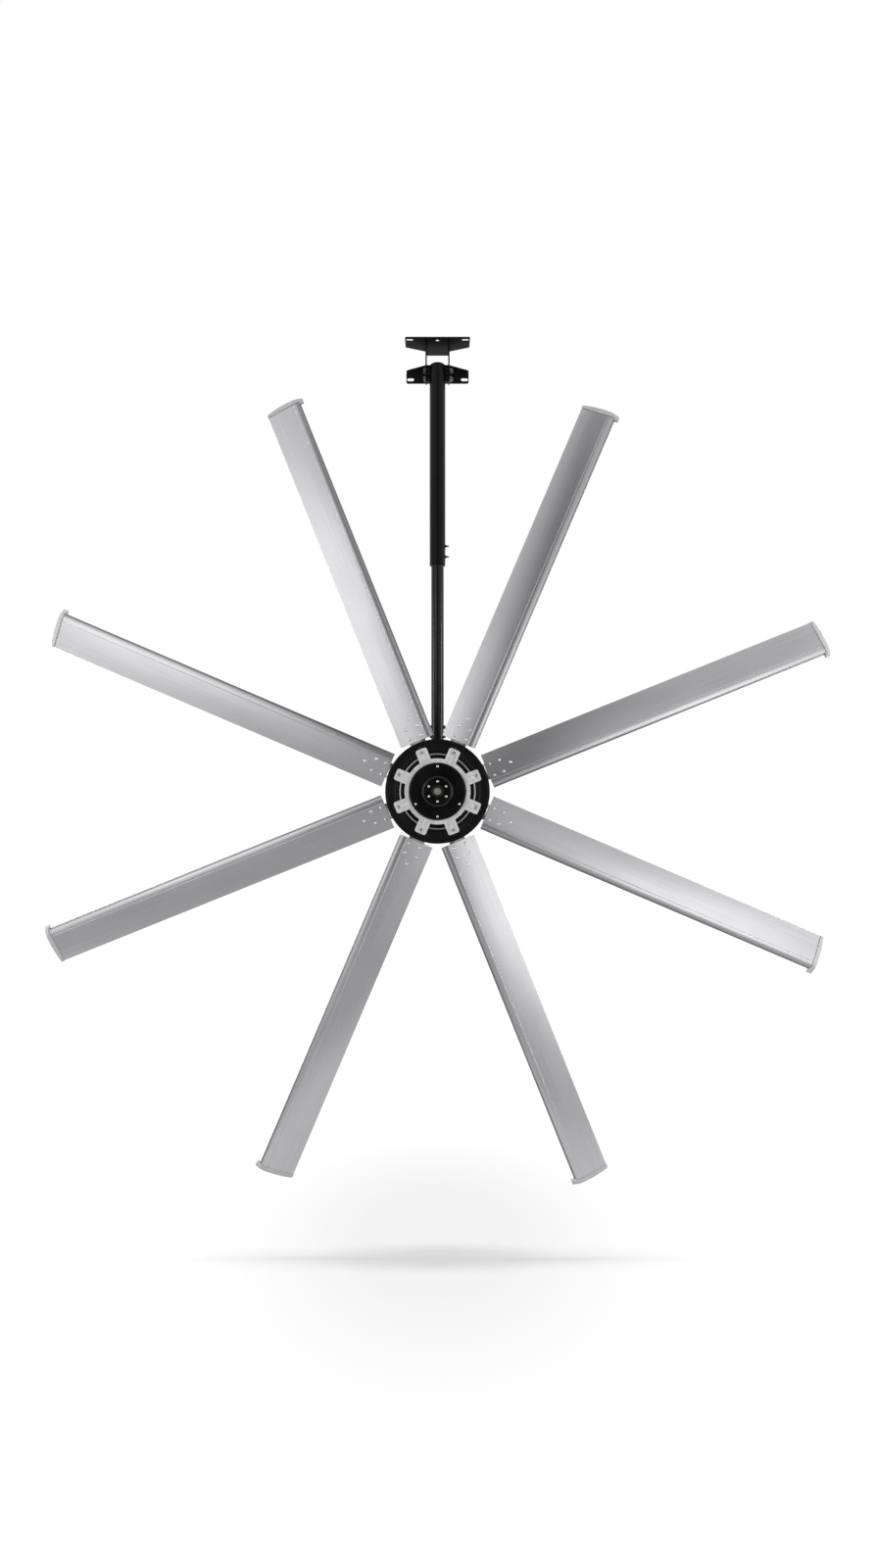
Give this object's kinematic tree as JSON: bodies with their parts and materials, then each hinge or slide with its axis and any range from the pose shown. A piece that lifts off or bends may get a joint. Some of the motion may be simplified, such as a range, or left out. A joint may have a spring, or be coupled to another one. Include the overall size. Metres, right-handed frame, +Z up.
{
  "type": "industrial ceiling fan",
  "caption": "Large industrial ceiling fan: extruded aluminium blades on a round gearless hub, telescoping black drop rod, slotted hanger bracket and a tilting yoke.",
  "frame": {"origin": "on the ceiling face of the hanger, on the axis of the drop rod", "axes": "+Z up out of the ceiling face; the rotor's front faces -Y at rest; +X is on the right of a viewer in front of the rotor"},
  "size_m": [2.8748, 0.225, 3.1504],
  "materials": {
    "black_steel": "black powder coat, satin",
    "zinc_fastener": "bright zinc",
    "black_fastener": "black oxide",
    "tube_coat": "black coat, half gloss",
    "dull_zinc": "dull zinc",
    "strut_steel": "light grey coat",
    "blade_aluminium": "brushed and clear anodised",
    "end_cap_plastic": "light grey moulding",
    "black_casting": "black coat on a casting, half gloss",
    "gloss_black": "black gloss coat",
    "spider_casting": "bare cast and blasted",
    "bare_metal": "turned",
    "bronze_washer": "dark bronze",
    "bearing_steel": "ground",
    "core_steel": "laminated",
    "copper_wire": "enamelled wire",
    "magnet": "plated",
    "gland_plastic": "black nylon"
  },
  "bodies": {
    "mount": {"ceiling_plate": "black_steel", "wall_plate": "black_steel", "cheek_left": "black_steel", "cheek_right": "black_steel", "hanger_bolts": "dull_zinc", "hanger_nuts": "dull_zinc", "hanger_spacers": "black_steel", "outer_tube": "black_steel", "clamp_screws": "black_fastener", "clamp_lock_nuts": "black_fastener"},
    "drop": {"inner_tube": "tube_coat", "foot_coupling": "black_steel", "coupling_bolts": "dull_zinc", "coupling_nuts": "dull_zinc", "flange_bolts": "dull_zinc", "yoke": "black_steel", "tilt_lock_bolts": "dull_zinc", "tilt_lock_nuts": "dull_zinc"},
    "motor": {"tilt_bracket": "black_steel", "pivot_bolts": "dull_zinc", "pivot_nuts": "dull_zinc", "stator_shaft": "bearing_steel", "shaft_nut": "dull_zinc", "cable_gland": "gland_plastic", "stator_core": "core_steel", "stator_windings": "copper_wire", "bearing_inner_races": "bearing_steel", "bearing_balls": "bearing_steel"},
    "rotor": {"bearing_outer_races": "bearing_steel", "rotor_can": "black_casting", "rotor_magnets": "magnet", "hub_dish": "black_casting", "dish_ring": "bare_metal", "spider": "spider_casting", "finger_screws": "black_fastener", "dish_screws": "zinc_fastener", "front_cap": "gloss_black", "boss_cover": "gloss_black", "cap_screws": "zinc_fastener", "centre_washer": "bronze_washer", "centre_plug": "bare_metal", "blade_struts": "strut_steel", "blade_bolts": "zinc_fastener", "blade_nuts": "zinc_fastener", "blade_1": "blade_aluminium", "blade_2": "blade_aluminium", "blade_3": "blade_aluminium", "blade_4": "blade_aluminium", "blade_5": "blade_aluminium", "blade_6": "blade_aluminium", "blade_7": "blade_aluminium", "blade_8": "blade_aluminium", "end_cap_1": "end_cap_plastic", "end_cap_2": "end_cap_plastic", "end_cap_3": "end_cap_plastic", "end_cap_4": "end_cap_plastic", "end_cap_5": "end_cap_plastic", "end_cap_6": "end_cap_plastic", "end_cap_7": "end_cap_plastic", "end_cap_8": "end_cap_plastic"}
  },
  "joints": [
    {"name": "rod_extension", "type": "slide", "parent": "mount", "child": "drop", "axis": [0, 0, -1], "range_m": [-0.1, 0.25]},
    {"name": "motor_tilt", "type": "hinge", "parent": "drop", "child": "motor", "pos_m": [0, 0, -1.713], "axis": [1, 0, 0], "range_deg": [0, 90]},
    {"name": "fan_spin", "type": "hinge", "parent": "motor", "child": "rotor", "pos_m": [0, -0.115, -1.713], "axis": [0, 1, 0], "continuous": true}
  ]
}
